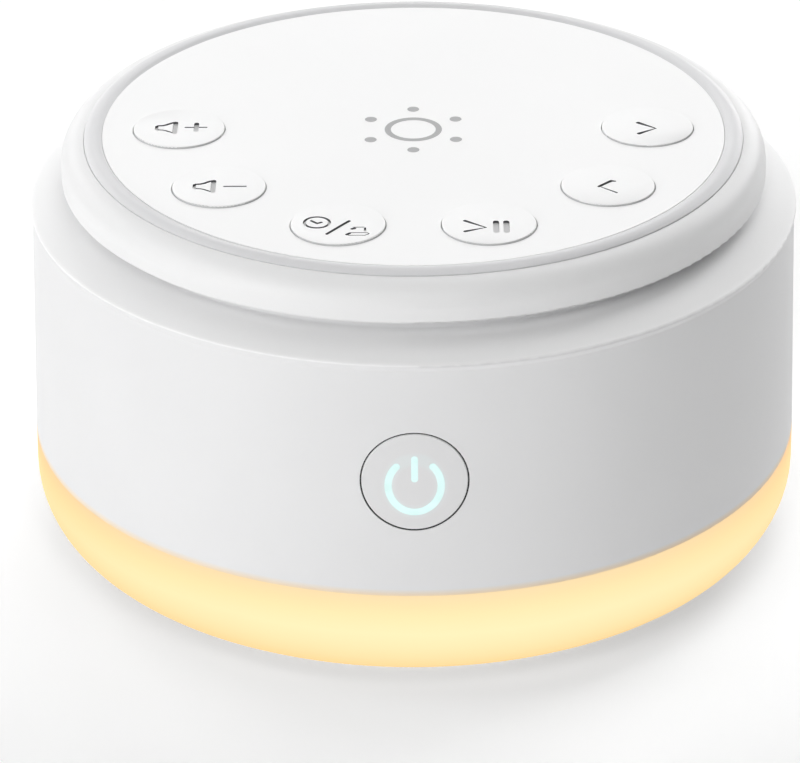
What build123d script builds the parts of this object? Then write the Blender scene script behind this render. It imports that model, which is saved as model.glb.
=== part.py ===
from build123d import *
import os
from math import cos, radians, sin, sqrt, tan

# White noise sound machine: a round puck that glows at its base, with six finger keys on top.
# Frame: origin at the centre of the resting face, +Z up, the power key faces -Y. Millimetres.

os.makedirs("parts", exist_ok=True)

# ---- Driving dimensions ----

# Heights of the outer form, stacked from the resting face up
foot_height = 1.5
glow_height = 14.5
body_height = 32.0
shoulder_height = 2.1
neck_gap = 1.5
rim_height = 5.4

# The outer form from the body's top edge inwards
body_top_radius = 49.9
body_draft = 1.4  # degrees from upright
shoulder_width = 6.3
rim_overhang_width = 2.4
rim_crown_width = 3.0
trim_width = 2.35
lip_width = 0.35
lip_height = 0.9
lip_round_radius = 0.3
cove_radius = 0.4
rim_foot_radius = 0.35
rim_drop_height = 0.35
trim_drop_height = 0.2
trim_crest_height = 0.3
glow_round_radius = 9.6

# Walls and clearances
housing_wall = 2.2
diffuser_wall = 2.0
base_wall = 2.0
panel_thickness = 1.8
shelf_thickness = 1.2
seam_gap = 0.1
slip_gap = 0.2
touch_gap = 0.05

# Finger keys
key_count = 6
key_pitch = 36.0  # degrees
first_key_angle = 180.0
key_inset = 10.0
key_radius = 5.95
key_gap = 0.12
key_step_height = 0.25
key_edge_radius = 0.15
key_top_thickness = 1.4
key_skirt_inset = 0.55
key_skirt_wall = 0.9
key_flange_width = 0.95
key_flange_thickness = 0.9
key_travel = 0.4
key_stem_radius = 1.5
key_rib_width = 1.6
key_rib_height = 0.7

# Key carrier and key board
carrier_thickness = 1.5
sleeve_wall = 1.05
stem_hole_gap = 0.5
deck_width = 5.9
board_thickness = 1.6
board_edge_gap = 1.1
carrier_post_height = 3.6
carrier_post_radius = 2.4
carrier_post_inset = 11.5
touch_pad_radius = 4.0
rim_boss_radius = 2.2
rim_boss_count = 5
rim_skirt_wall = 2.0
rim_skirt_depth = 3.0

# Tact switches
switch_size = 6.0
switch_body_height = 3.4
plunger_radius = 1.7
plunger_step_height = 0.9
plunger_length = 2.6
plunger_gap = 0.06

# Power key on the front wall
power_key_radius = 6.6
power_key_gap = 0.2
power_key_thickness = 1.9
power_key_edge_radius = 0.15
power_key_wall = 1.2
power_flange_width = 1.2
power_flange_thickness = 1.0
power_collar_length = 1.7
power_collar_wall = 1.1
power_key_travel = 0.4
power_post_length = 1.2
power_board_land_width = 2.5
power_board_height = 14.0
power_post_radius = 2.2
power_post_gap = 0.5

# Screws
pilot_radius = 1.05
shank_radius = 1.0
hole_radius = 1.4
head_radius = 2.2
head_height = 1.4
screw_bite_length = 6.0
boss_radius = 2.8

# Frame: tray, main board and housing bosses on one ring of screws
frame_screw_count = 4
screw_angle = 45.0  # degrees
frame_land_width = 0.9
frame_boss_height = 8.0
frame_rib_width = 1.6
tray_thickness = 1.5
tray_post_height = 7.8
tray_wall = 1.4
tray_lip_width = 6.0
spigot_height = 2.0
spigot_wall = 1.8
light_board_gap = 0.6
led_count = 12
led_width = 3.5
led_depth = 2.8
led_height = 0.9

# Main board and the power inlet
main_board_land_width = 3.0
main_board_corner_radius = 4.0
tongue_width = 14.0
tongue_gap = 0.9
usb_width = 8.94
usb_height = 3.26
usb_depth = 7.3
usb_wall = 0.3
usb_recess_depth = 0.35
usb_opening_margin = 0.22
usb_tongue_width = 6.7
usb_tongue_thickness = 0.7
chip_thickness = 1.0
sound_chip_size = 7.0
chip_width = 5.0
chip_length = 6.0
chip_side_offset = 13.0
chip_rear_offset = 16.0
capacitor_radius = 3.15
capacitor_height = 7.7
capacitor_edge_radius = 0.5
capacitor_inset = 11.0
capacitor_spacing = 14.0

# Base cover, feet and grille
base_flange_width = 3.6
base_flange_thickness = 1.05
base_land_width = 0.6
foot_radius = 5.0
foot_seat_depth = 0.8
foot_edge_radius = 0.4
foot_inset = 6.0
well_radius = 3.6
well_height = 1.5
base_boss_radius = 3.2
speaker_boss_radius = 2.3
tray_ring_height = 3.0
tray_ring_width = 1.2
grille_hole_radius = 1.1
grille_ring_spacing = 4.2
grille_rings = 3
holes_in_first_ring = 6

# Loudspeaker
speaker_radius = 20.0
speaker_flange_width = 2.2
speaker_flange_thickness = 1.2
gasket_thickness = 1.0
basket_skirt_height = 4.7
basket_depth = 9.9
basket_wall = 0.9
basket_seat_land_width = 0.7
ear_count = 3
first_ear_angle = 30.0  # degrees
ear_offset = 2.4
ear_radius = 2.6
window_width = 10.0
window_height = 3.6
terminal_length = 4.5
terminal_width = 5.5
magnet_overhang_width = 1.0
magnet_height = 5.0
plate_radius = 13.5
plate_thickness = 2.0
pole_radius = 6.3
coil_gap = 0.4
coil_wall = 0.4
coil_length = 7.0
magnet_gap = 1.3
cone_thickness = 0.4
cone_rim_width = 0.9
cone_depth = 4.3
dust_cap_overlap_width = 1.5
dust_cap_height = 2.2
surround_width = 2.2
surround_thickness = 0.35
spider_wave_height = 0.5

# Internal leads
lead_radius = 0.5
lead_spacing = 2.5
ribbon_thickness = 0.6
key_ribbon_width = 8.0
power_ribbon_width = 5.0
light_ribbon_width = 2.6
socket_height = 3.4
socket_depth = 4.0
socket_margin = 1.0
key_socket_y = 14.0
key_header_y = 4.0
power_lead_height = 3.0
lead_inset = 1.5
lead_margin = 0.5
lead_straight_length = 4.0
lead_bend_radius = 2.0
ribbon_bend_radius = 1.5
light_lead_height = 2.0

# ---- Heights and radii that follow ----

base_z = foot_height
seam_z = base_z + glow_height
shoulder_z = seam_z + body_height
neck_z = shoulder_z + shoulder_height
rim_z = neck_z + neck_gap
panel_z = rim_z + rim_height
rim_top_z = panel_z - rim_drop_height
trim_edge_z = panel_z - trim_drop_height
shelf_z = panel_z - panel_thickness
shelf_bottom_z = shelf_z - shelf_thickness

draft_slope = tan(radians(body_draft))
neck_radius = body_top_radius - shoulder_width
neck_inner_radius = neck_radius - housing_wall
rim_radius = neck_radius + rim_overhang_width
rim_seat_radius = rim_radius - rim_crown_width
trim_outer_radius = rim_seat_radius - touch_gap
trim_inner_radius = trim_outer_radius - trim_width
panel_radius = trim_inner_radius - touch_gap


def body_radius(z):
    """Outer radius of the drafted body at a height."""
    return body_top_radius + (shoulder_z - z) * draft_slope


body_bottom_radius = body_radius(seam_z)
spigot_z = seam_z + spigot_height
spigot_outer_radius = body_radius(spigot_z) - housing_wall - slip_gap
spigot_inner_radius = spigot_outer_radius - spigot_wall

# Key stack, from the panel down
key_circle_radius = panel_radius - key_inset
key_skirt_radius = key_radius - key_skirt_inset
key_flange_radius = key_radius + key_flange_width
stem_hole_radius = plunger_radius + stem_hole_gap
deck_hole_radius = neck_inner_radius - deck_width
carrier_post_circle_radius = key_circle_radius - carrier_post_inset
key_flange_top_z = shelf_z - seam_gap
key_flange_z = key_flange_top_z - key_flange_thickness
sleeve_top_z = key_flange_z - key_travel - seam_gap
carrier_z = neck_z
carrier_top_z = carrier_z + carrier_thickness
carrier_radius = neck_inner_radius - slip_gap - rim_skirt_wall - slip_gap
key_bottom_z = carrier_top_z + key_travel + seam_gap
key_board_top_z = carrier_z - carrier_post_height
key_board_z = key_board_top_z - board_thickness
key_board_radius = deck_hole_radius - board_edge_gap
switch_top_z = key_board_top_z + switch_body_height
plunger_top_z = switch_top_z + plunger_step_height
key_ceiling_z = panel_z + key_step_height - key_top_thickness
rim_boss_circle_radius = carrier_radius - rim_boss_radius + 0.5 * rim_skirt_wall
key_angles = [first_key_angle + key_pitch * i for i in range(key_count)]
rim_boss_start = first_key_angle + key_pitch / 2

# Base stack, from the resting face up
base_top_z = base_z + base_wall
well_top_z = base_top_z + well_height
glow_outer_radius = body_radius(base_z + glow_round_radius)
base_flange_radius = glow_outer_radius - glow_round_radius - base_land_width
base_disc_radius = base_flange_radius - base_flange_width
foot_circle_radius = base_disc_radius - foot_inset
tray_wall_radius = base_disc_radius - tray_ring_width - tray_wall - 2 * slip_gap
tray_lip_radius = tray_wall_radius - tray_lip_width
flange_top_z = base_z + base_flange_thickness
tray_top_z = spigot_z + slip_gap
tray_z = tray_top_z - tray_thickness
tray_radius = spigot_inner_radius - slip_gap
frame_circle_radius = tray_radius - boss_radius - frame_land_width
light_board_inner_radius = tray_wall_radius + tray_wall + light_board_gap
light_board_outer_radius = tray_radius - light_board_gap
led_circle_radius = (light_board_inner_radius + light_board_outer_radius) / 2
light_board_z = tray_z - board_thickness
main_board_z = tray_top_z + tray_post_height
main_board_top_z = main_board_z + board_thickness
usb_z = main_board_top_z + usb_height / 2
usb_mouth_y = body_radius(usb_z) - usb_recess_depth
frame_boss_inner_radius = body_radius(main_board_top_z) - housing_wall
main_board_size = 2 * (frame_circle_radius * cos(radians(screw_angle)) + main_board_land_width)

# Power key stack, as distances from the axis towards the front
power_key_z = seam_z + body_height / 2
power_surface = body_radius(power_key_z)
power_wall_inner = power_surface - housing_wall
power_collar_end = power_wall_inner - power_collar_length
power_flange_front = power_collar_end - seam_gap
power_flange_back = power_flange_front - power_flange_thickness
power_plunger_tip = power_flange_back - power_post_length
power_switch_front = power_plunger_tip - plunger_step_height
power_board_front = power_switch_front - switch_body_height
power_board_back = power_board_front - board_thickness
power_hole_radius = power_key_radius + power_key_gap
power_flange_radius = power_key_radius + power_flange_width
power_post_offset = power_flange_radius + power_post_radius + power_post_gap
power_board_width = 2 * (power_post_offset + power_board_land_width)

front = Plane(origin=(0, 0, power_key_z), x_dir=(1, 0, 0), z_dir=(0, -1, 0))
rear = Plane(origin=(0, 0, usb_z), x_dir=(-1, 0, 0), z_dir=(0, 1, 0))

# Loudspeaker stack, facing down
gasket_z = base_top_z
basket_z = gasket_z + gasket_thickness
speaker_flange_top_z = basket_z + speaker_flange_thickness
basket_skirt_z = basket_z + basket_skirt_height
basket_top_z = basket_z + basket_depth
plate_top_z = basket_top_z + plate_thickness
magnet_top_z = plate_top_z + magnet_height
yoke_top_z = magnet_top_z + plate_thickness
basket_inner_radius = speaker_radius - basket_wall
flange_inner_radius = speaker_radius - speaker_flange_width
plate_hole_radius = pole_radius + magnet_gap
magnet_radius = plate_radius + magnet_overhang_width
basket_seat_radius = plate_radius + basket_seat_land_width
ear_circle_radius = speaker_radius + ear_offset
cone_radius = flange_inner_radius - surround_width
coil_radius = pole_radius + coil_gap
surround_z = speaker_flange_top_z + touch_gap
cone_rim_z = surround_z + surround_thickness + touch_gap
coil_outer_radius = coil_radius + coil_wall
dust_cap_radius = coil_outer_radius + dust_cap_overlap_width
cone_neck_z = cone_rim_z + cone_depth
coil_z = cone_neck_z


def save(builder, name):
    """Label a finished piece and write it under its own name."""
    builder.part.label = name
    export_step(builder.part, f"parts/{name}.step")


def key_plane(angle, z):
    """Plane across a key's own axis, with x pointing outwards."""
    outward = (cos(radians(angle)), sin(radians(angle)), 0)
    centre = (key_circle_radius * outward[0], key_circle_radius * outward[1], z)
    return Plane(origin=centre, x_dir=outward, z_dir=(0, 0, 1))


def key_section_plane(angle):
    """Upright plane through a key's own axis, with x outwards and y upwards."""
    outward = Vector(cos(radians(angle)), sin(radians(angle)), 0)
    return Plane(
        origin=outward * key_circle_radius, x_dir=outward, z_dir=outward.cross(Vector(0, 0, 1))
    )


# ---- Base ----

with BuildPart() as base_cover:
    with BuildSketch(Plane.XY.offset(base_z)):
        Circle(base_flange_radius - slip_gap)
    extrude(amount=base_flange_thickness - touch_gap)
    with BuildSketch(Plane.XY.offset(base_z)):
        Circle(base_disc_radius - slip_gap)
    extrude(amount=base_wall)
    # Wells that take the screw heads, above the foot seats
    with BuildSketch(Plane.XY.offset(base_top_z)):
        with PolarLocations(foot_circle_radius, frame_screw_count, start_angle=screw_angle):
            Circle(well_radius)
    extrude(amount=well_height)
    # Bosses under the loudspeaker's ears
    with BuildSketch(Plane.XY.offset(base_top_z)):
        with PolarLocations(ear_circle_radius, ear_count, start_angle=first_ear_angle):
            Circle(speaker_boss_radius)
    extrude(amount=gasket_thickness)
    # Ring that locates the tray
    with BuildSketch(Plane.XY.offset(base_top_z)):
        Circle(base_disc_radius - slip_gap)
        Circle(tray_wall_radius + tray_wall + slip_gap, mode=Mode.SUBTRACT)
    extrude(amount=tray_ring_height)
    # Loudspeaker grille in concentric rings of holes
    with BuildSketch(Plane.XY.offset(base_z)):
        Circle(grille_hole_radius)
        for ring in range(1, grille_rings + 1):
            with PolarLocations(ring * grille_ring_spacing, ring * holes_in_first_ring):
                Circle(grille_hole_radius)
    extrude(amount=base_wall, mode=Mode.SUBTRACT)
    # Foot seats, counterbores and screw holes
    with BuildSketch(Plane.XY.offset(base_z)):
        with PolarLocations(foot_circle_radius, frame_screw_count, start_angle=screw_angle):
            Circle(foot_radius + slip_gap)
    extrude(amount=foot_seat_depth, mode=Mode.SUBTRACT)
    with BuildSketch(Plane.XY.offset(base_z)):
        with PolarLocations(foot_circle_radius, frame_screw_count, start_angle=screw_angle):
            Circle(head_radius + slip_gap)
    extrude(amount=foot_seat_depth + head_height, mode=Mode.SUBTRACT)
    with BuildSketch(Plane.XY.offset(base_z)):
        with PolarLocations(foot_circle_radius, frame_screw_count, start_angle=screw_angle):
            Circle(hole_radius)
    extrude(amount=base_wall + well_height, mode=Mode.SUBTRACT)
    # Pilot holes for the loudspeaker screws
    with BuildSketch(Plane.XY.offset(basket_z)):
        with PolarLocations(ear_circle_radius, ear_count, start_angle=first_ear_angle):
            Circle(pilot_radius)
    extrude(amount=seam_gap - base_wall, mode=Mode.SUBTRACT)
save(base_cover, "base_cover")

with BuildPart() as feet:
    with BuildSketch():
        with PolarLocations(foot_circle_radius, frame_screw_count, start_angle=screw_angle):
            Circle(foot_radius)
    extrude(amount=foot_height + foot_seat_depth)
    fillet(feet.edges().group_by(Axis.Z)[0], foot_edge_radius)
save(feet, "feet")


def screw_ring(circle, count, start_angle, seat_z, length, up=True):
    """Screws on a circle, their heads on a seat and their shanks above or below it."""
    way = 1 if up else -1
    with BuildPart() as screws:
        with BuildSketch(Plane.XY.offset(seat_z)):
            with PolarLocations(circle, count, start_angle=start_angle):
                Circle(shank_radius)
        extrude(amount=way * length)
        with BuildSketch(Plane.XY.offset(seat_z)):
            with PolarLocations(circle, count, start_angle=start_angle):
                Circle(head_radius)
        extrude(amount=-way * (head_height - touch_gap))
    return screws


base_head_z = base_z + foot_seat_depth + head_height
base_screw_length = well_top_z - base_head_z + screw_bite_length
base_screws = screw_ring(
    foot_circle_radius, frame_screw_count, screw_angle, base_head_z, base_screw_length
)
save(base_screws, "base_screws")

# ---- Light ring ----

glow_floor_z = base_z + diffuser_wall
glow_inner_radius = glow_round_radius - diffuser_wall

with BuildPart() as light_diffuser:
    with BuildSketch(Plane.XZ):
        with BuildLine():
            FilletPolyline(
                (base_flange_radius, base_z),
                (glow_outer_radius, base_z),
                (body_bottom_radius, seam_z),
                (spigot_outer_radius, seam_z),
                (spigot_outer_radius, spigot_z),
                (spigot_inner_radius, spigot_z),
                (spigot_inner_radius, seam_z),
                (glow_outer_radius - diffuser_wall, seam_z - diffuser_wall),
                (glow_outer_radius - diffuser_wall, glow_floor_z),
                (base_disc_radius, glow_floor_z),
                (base_disc_radius, flange_top_z),
                (base_flange_radius, flange_top_z),
                radius=[0, glow_round_radius, 0, 0, 0, 0, 0, 0, glow_inner_radius, 0, 0, 0],
                close=True,
            )
        make_face()
    revolve(axis=Axis.Z)
save(light_diffuser, "light_diffuser")

with BuildPart() as light_tray:
    with BuildSketch(Plane.XY.offset(tray_z)):
        Circle(tray_radius)
        Circle(tray_lip_radius, mode=Mode.SUBTRACT)
    extrude(amount=tray_thickness)
    # White inner wall that shields the loudspeaker from the lamps
    with BuildSketch(Plane.XY.offset(tray_z)):
        Circle(tray_wall_radius + tray_wall)
        Circle(tray_wall_radius, mode=Mode.SUBTRACT)
    extrude(amount=well_top_z + touch_gap - tray_z)
    with BuildSketch(Plane.XY.offset(tray_z)):
        with PolarLocations(foot_circle_radius, frame_screw_count, start_angle=screw_angle):
            Circle(base_boss_radius)
    extrude(amount=well_top_z - tray_z)
    with BuildSketch(Plane.XY.offset(tray_top_z)):
        with PolarLocations(frame_circle_radius, frame_screw_count, start_angle=screw_angle):
            Circle(boss_radius)
    extrude(amount=tray_post_height)
    with BuildSketch(Plane.XY.offset(tray_z)):
        with PolarLocations(frame_circle_radius, frame_screw_count, start_angle=screw_angle):
            Circle(hole_radius)
    extrude(amount=tray_thickness + tray_post_height, mode=Mode.SUBTRACT)
    with BuildSketch(Plane.XY.offset(well_top_z)):
        with PolarLocations(foot_circle_radius, frame_screw_count, start_angle=screw_angle):
            Circle(pilot_radius)
    extrude(amount=screw_bite_length + seam_gap, mode=Mode.SUBTRACT)
    # Slot that lets the lamp lead through to the main board
    with BuildSketch(Plane.XY.offset(tray_z)):
        with Locations((led_circle_radius, 0)):
            Rectangle(led_width, light_ribbon_width + 2 * slip_gap)
    extrude(amount=tray_thickness, mode=Mode.SUBTRACT)
save(light_tray, "light_tray")

with BuildPart() as light_board:
    with BuildSketch(Plane.XY.offset(light_board_z)):
        Circle(light_board_outer_radius)
        Circle(light_board_inner_radius, mode=Mode.SUBTRACT)
        with PolarLocations(frame_circle_radius, frame_screw_count, start_angle=screw_angle):
            Circle(hole_radius, mode=Mode.SUBTRACT)
    extrude(amount=board_thickness)
save(light_board, "light_board")

with BuildPart() as glow_leds:
    with BuildSketch(Plane.XY.offset(light_board_z)):
        with PolarLocations(led_circle_radius, led_count):
            Rectangle(led_depth, led_width)
    extrude(amount=-led_height)
save(glow_leds, "glow_leds")

frame_screw_length = main_board_top_z - light_board_z + screw_bite_length
frame_screws = screw_ring(
    frame_circle_radius, frame_screw_count, screw_angle, light_board_z, frame_screw_length
)
save(frame_screws, "frame_screws")

# ---- Main housing ----

with BuildPart() as main_housing:
    with BuildSketch(Plane.XZ):
        with BuildLine():
            FilletPolyline(
                (body_bottom_radius, seam_z),
                (body_top_radius, shoulder_z - lip_height),
                (body_top_radius + lip_width, shoulder_z),
                (neck_radius, neck_z),
                (neck_radius, shelf_bottom_z - seam_gap),
                (neck_inner_radius, shelf_bottom_z - seam_gap),
                (neck_inner_radius, neck_z),
                (deck_hole_radius, neck_z),
                (deck_hole_radius, neck_z - housing_wall),
                (neck_inner_radius, neck_z - housing_wall),
                (body_top_radius - housing_wall, shoulder_z - housing_wall),
                (body_bottom_radius - housing_wall, seam_z),
                radius=[0, 0, lip_round_radius, cove_radius, 0, 0, 0, 0, 0, 0, housing_wall, 0],
                close=True,
            )
        make_face()
    revolve(axis=Axis.Z)
    # Screw bosses with ribs to the wall
    with BuildSketch(Plane.XY.offset(main_board_top_z)):
        with PolarLocations(frame_circle_radius, frame_screw_count, start_angle=screw_angle):
            Circle(boss_radius)
        rib_end = frame_boss_inner_radius + housing_wall / 4
        rib_middle = (frame_circle_radius + rib_end) / 2
        with PolarLocations(rib_middle, frame_screw_count, start_angle=screw_angle):
            Rectangle(rib_end - frame_circle_radius, frame_rib_width)
    extrude(amount=frame_boss_height)
    with BuildSketch(Plane.XY.offset(main_board_top_z)):
        with PolarLocations(frame_circle_radius, frame_screw_count, start_angle=screw_angle):
            Circle(pilot_radius)
    extrude(amount=screw_bite_length + seam_gap, mode=Mode.SUBTRACT)
    # Holes in the deck for the rim screws
    with BuildSketch(Plane.XY.offset(neck_z)):
        with PolarLocations(rim_boss_circle_radius, rim_boss_count, start_angle=rim_boss_start):
            Circle(hole_radius)
    extrude(amount=-housing_wall, mode=Mode.SUBTRACT)
    # Collar that guides the power key, and posts for its board
    with BuildSketch(front.offset(power_collar_end)):
        Circle(power_hole_radius + power_collar_wall)
    extrude(amount=power_collar_length + housing_wall / 2)
    with BuildSketch(front.offset(power_board_front)):
        with Locations((-power_post_offset, 0), (power_post_offset, 0)):
            Circle(power_post_radius)
    extrude(amount=power_wall_inner - power_board_front)
    with BuildSketch(front.offset(power_board_front)):
        Circle(power_hole_radius)
    extrude(amount=body_bottom_radius, mode=Mode.SUBTRACT)
    with BuildSketch(front.offset(power_board_front)):
        with Locations((-power_post_offset, 0), (power_post_offset, 0)):
            Circle(pilot_radius)
    extrude(amount=screw_bite_length, mode=Mode.SUBTRACT)
    # USB-C opening through the rear wall
    with BuildSketch(rear.offset(main_board_size / 2)):
        SlotOverall(usb_width + 2 * usb_opening_margin, usb_height + 2 * usb_opening_margin)
    extrude(amount=body_bottom_radius, mode=Mode.SUBTRACT)
save(main_housing, "main_housing")

# ---- Main board and power inlet ----

tongue_y = sqrt(frame_boss_inner_radius**2 - (tongue_width / 2) ** 2) - tongue_gap

with BuildPart() as main_board:
    with BuildSketch(Plane.XY.offset(main_board_z)):
        RectangleRounded(main_board_size, main_board_size, main_board_corner_radius)
        with Locations((0, tongue_y / 2)):
            Rectangle(tongue_width, tongue_y)
        with PolarLocations(frame_circle_radius, frame_screw_count, start_angle=screw_angle):
            Circle(hole_radius, mode=Mode.SUBTRACT)
    extrude(amount=board_thickness)
save(main_board, "main_board")

with BuildPart() as usb_c_shell:
    with BuildSketch(rear.offset(usb_mouth_y)):
        SlotOverall(usb_width, usb_height)
    extrude(amount=-usb_depth)
    with BuildSketch(rear.offset(usb_mouth_y)):
        SlotOverall(usb_width - 2 * usb_wall, usb_height - 2 * usb_wall)
    extrude(amount=usb_wall - usb_depth, mode=Mode.SUBTRACT)
save(usb_c_shell, "usb_c_shell")

with BuildPart() as usb_c_tongue:
    with BuildSketch(rear.offset(usb_mouth_y - usb_depth + usb_wall)):
        RectangleRounded(usb_tongue_width, usb_tongue_thickness, usb_tongue_thickness / 3)
    extrude(amount=usb_depth - 3 * usb_wall)
save(usb_c_tongue, "usb_c_tongue")

with BuildPart() as board_chips:
    with BuildSketch(Plane.XY.offset(main_board_top_z)):
        with Locations((-chip_side_offset, 0)):
            Rectangle(sound_chip_size, sound_chip_size)
        with Locations(
            (-chip_side_offset, chip_rear_offset),
            (chip_side_offset, chip_rear_offset),
            (chip_side_offset, -chip_rear_offset),
        ):
            Rectangle(chip_width, chip_length)
    extrude(amount=chip_thickness)
save(board_chips, "board_chips")

capacitor_offset = main_board_size / 2 - capacitor_inset

with BuildPart() as capacitors:
    with BuildSketch(Plane.XY.offset(main_board_top_z)):
        with Locations(
            (capacitor_offset, capacitor_spacing / 2), (capacitor_offset, 3 * capacitor_spacing / 2)
        ):
            Circle(capacitor_radius)
    extrude(amount=capacitor_height)
    fillet(capacitors.edges().group_by(Axis.Z)[-1], capacitor_edge_radius)
save(capacitors, "capacitors")

# ---- Power key ----

with BuildPart() as power_key:
    with BuildSketch(front.offset(power_flange_front)):
        Circle(power_key_radius)
    extrude(amount=power_surface)
    # The face of the key carries on the body's own drafted round
    with BuildSketch(Plane.XZ):
        with BuildLine():
            Polyline(
                (0, seam_z),
                (body_bottom_radius, seam_z),
                (body_top_radius, shoulder_z),
                (0, shoulder_z),
                close=True,
            )
        make_face()
    revolve(axis=Axis.Z, mode=Mode.INTERSECT)
    fillet(power_key.edges().sort_by(Axis.Y)[0], power_key_edge_radius)
    with BuildSketch(front.offset(power_flange_back)):
        Circle(power_flange_radius)
    extrude(amount=power_flange_thickness)
    with BuildSketch(front.offset(power_flange_back)):
        Circle(power_key_radius - power_key_wall)
    extrude(
        amount=power_surface - power_key_thickness - power_flange_back, mode=Mode.SUBTRACT
    )
save(power_key, "power_key")

with BuildPart() as power_light_guide:
    with BuildSketch(front.offset(power_flange_back)):
        Circle(power_key_radius - power_key_wall - touch_gap)
    extrude(amount=power_surface - power_key_thickness - power_flange_back - touch_gap)
    with BuildSketch(front.offset(power_flange_back)):
        Circle(key_stem_radius)
    extrude(amount=-power_post_length)
save(power_light_guide, "power_light_guide")

with BuildPart() as power_board:
    with BuildSketch(front.offset(power_board_front)):
        Rectangle(power_board_width, power_board_height)
        with Locations((-power_post_offset, 0), (power_post_offset, 0)):
            Circle(hole_radius, mode=Mode.SUBTRACT)
    extrude(amount=-board_thickness)
save(power_board, "power_board")

with BuildPart() as power_board_screws:
    with BuildSketch(front.offset(power_board_back)):
        with Locations((-power_post_offset, 0), (power_post_offset, 0)):
            Circle(shank_radius)
    extrude(amount=board_thickness + screw_bite_length - slip_gap)
    with BuildSketch(front.offset(power_board_back)):
        with Locations((-power_post_offset, 0), (power_post_offset, 0)):
            Circle(head_radius)
    extrude(amount=-head_height)
save(power_board_screws, "power_board_screws")

with BuildPart() as power_switch_body:
    with BuildSketch(front.offset(power_board_front)):
        Rectangle(switch_size, switch_size)
    extrude(amount=switch_body_height)
    with BuildSketch(front.offset(power_switch_front)):
        Circle(plunger_radius + plunger_gap)
    extrude(
        amount=plunger_step_height - plunger_length - power_key_travel - seam_gap, mode=Mode.SUBTRACT
    )
save(power_switch_body, "power_switch_body")

with BuildPart() as power_switch_plunger:
    with BuildSketch(front.offset(power_plunger_tip)):
        Circle(plunger_radius)
    extrude(amount=-plunger_length)
save(power_switch_plunger, "power_switch_plunger")

with BuildPart() as power_leds:
    with BuildSketch(front.offset(power_board_front)):
        with Locations((0, switch_size / 2 + led_depth), (0, -switch_size / 2 - led_depth)):
            Rectangle(led_width, led_depth)
    extrude(amount=led_height)
save(power_leds, "power_leds")

# ---- Rim, trim ring and key panel ----

with BuildPart() as top_rim:
    with BuildSketch(Plane.XZ):
        with BuildLine():
            FilletPolyline(
                (neck_radius + slip_gap, rim_z),
                (rim_radius, rim_z),
                (rim_radius, rim_top_z),
                (rim_seat_radius, rim_top_z),
                (rim_seat_radius, shelf_z),
                (carrier_radius - slip_gap, shelf_z),
                (carrier_radius - slip_gap, shelf_bottom_z),
                (carrier_radius + slip_gap, shelf_bottom_z),
                (carrier_radius + slip_gap, shelf_bottom_z - rim_skirt_depth),
                (neck_inner_radius - slip_gap, shelf_bottom_z - rim_skirt_depth),
                (neck_inner_radius - slip_gap, shelf_bottom_z),
                (neck_radius + slip_gap, shelf_bottom_z),
                radius=[0, rim_foot_radius, rim_crown_width - touch_gap, 0, 0, 0, 0, 0, 0, 0, 0, 0],
                close=True,
            )
        make_face()
    revolve(axis=Axis.Z)
    # Bosses for the rim screws, down to the key carrier
    with BuildSketch(Plane.XY.offset(carrier_top_z)):
        with PolarLocations(rim_boss_circle_radius, rim_boss_count, start_angle=rim_boss_start):
            Circle(rim_boss_radius)
    extrude(amount=shelf_z - carrier_top_z)
    with BuildSketch(Plane.XY.offset(carrier_top_z)):
        with PolarLocations(rim_boss_circle_radius, rim_boss_count, start_angle=rim_boss_start):
            Circle(pilot_radius)
    extrude(amount=shelf_bottom_z - carrier_top_z, mode=Mode.SUBTRACT)
save(top_rim, "top_rim")

with BuildPart() as trim_ring:
    with BuildSketch(Plane.XZ):
        with BuildLine():
            Polyline(
                (trim_outer_radius, trim_edge_z),
                (trim_outer_radius, shelf_z),
                (trim_inner_radius, shelf_z),
                (trim_inner_radius, panel_z - touch_gap),
            )
            ThreePointArc(
                (trim_inner_radius, panel_z - touch_gap),
                ((trim_inner_radius + trim_outer_radius) / 2, panel_z + trim_crest_height),
                (trim_outer_radius, trim_edge_z),
            )
        make_face()
    revolve(axis=Axis.Z)
save(trim_ring, "trim_ring")

with BuildPart() as key_panel:
    with BuildSketch(Plane.XY.offset(shelf_z)):
        Circle(panel_radius)
        for angle in key_angles:
            with PolarLocations(key_circle_radius, 1, start_angle=angle):
                Circle(key_radius + key_gap, mode=Mode.SUBTRACT)
    extrude(amount=panel_thickness)
save(key_panel, "key_panel")

# ---- Key carrier and key board ----

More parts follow.
